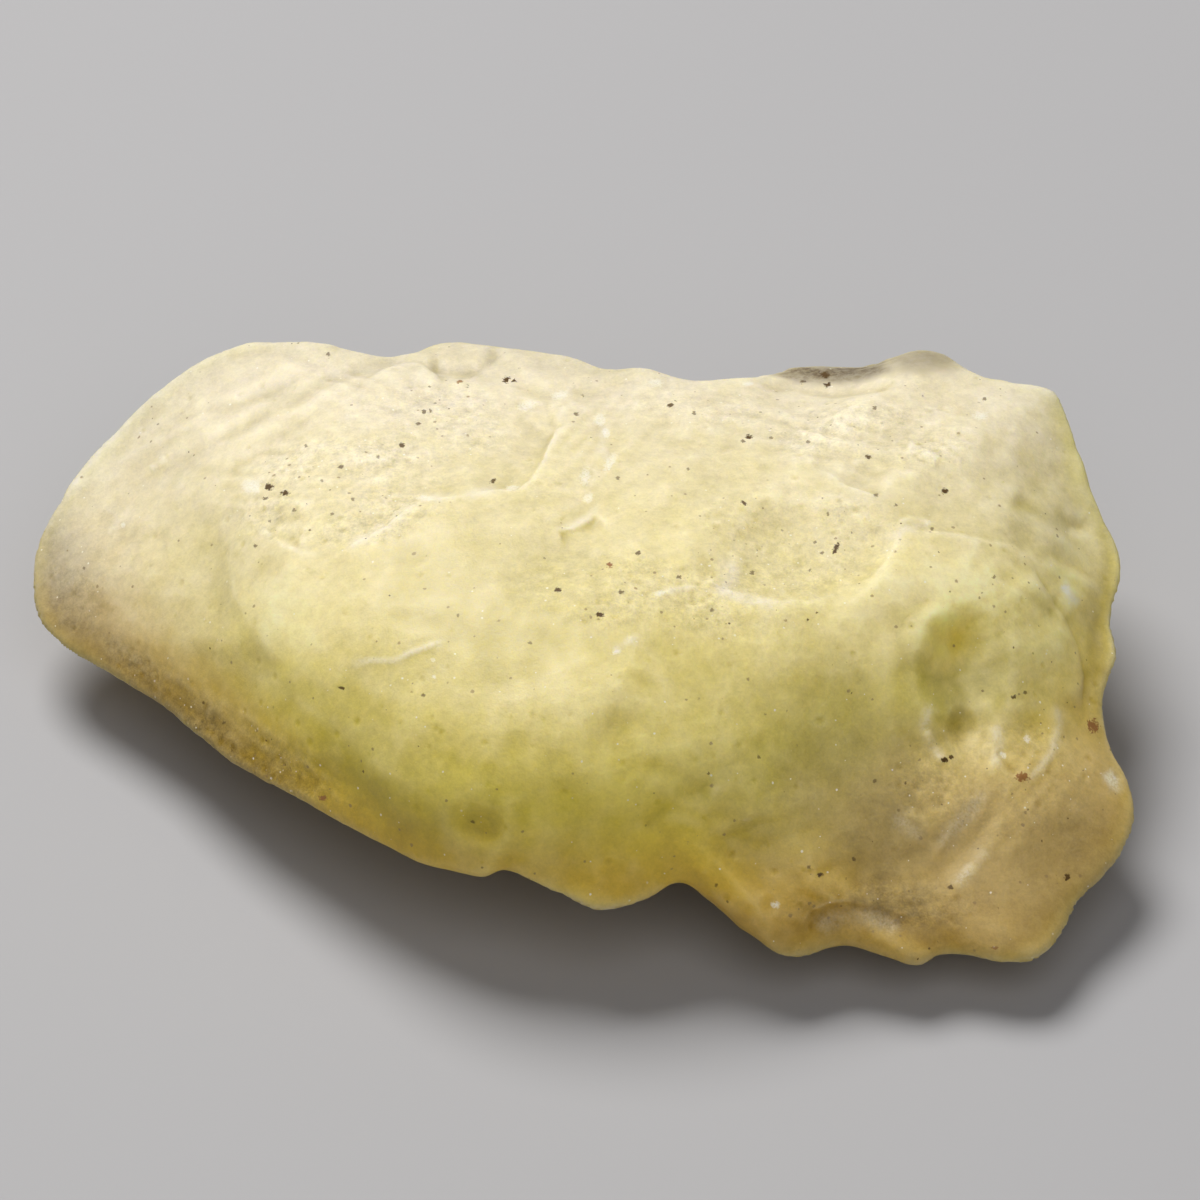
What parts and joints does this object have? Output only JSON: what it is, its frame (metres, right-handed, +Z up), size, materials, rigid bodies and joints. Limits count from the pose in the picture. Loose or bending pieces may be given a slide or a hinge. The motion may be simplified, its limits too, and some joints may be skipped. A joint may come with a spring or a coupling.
{
  "type": "libyan desert glass",
  "caption": "Wind-worn lump of pale yellow-green natural glass with a flat-topped dome, a scooped corner and scalloped edges; rests on a small flat spot.",
  "frame": {"origin": "middle of the lump's bounding box in plan, on the surface it rests on", "axes": "+X along the lump's length towards its scooped broad end, +Y to the rear, +Z up"},
  "size_m": [0.0546, 0.0366, 0.0156],
  "materials": {
    "desert_glass": "frosted, waxy, wind-polished translucent yellow-green glass with pale frosted tops and tiny dark specks"
  },
  "bodies": {
    "root": {"desert_glass": "desert_glass"}
  },
  "joints": []
}
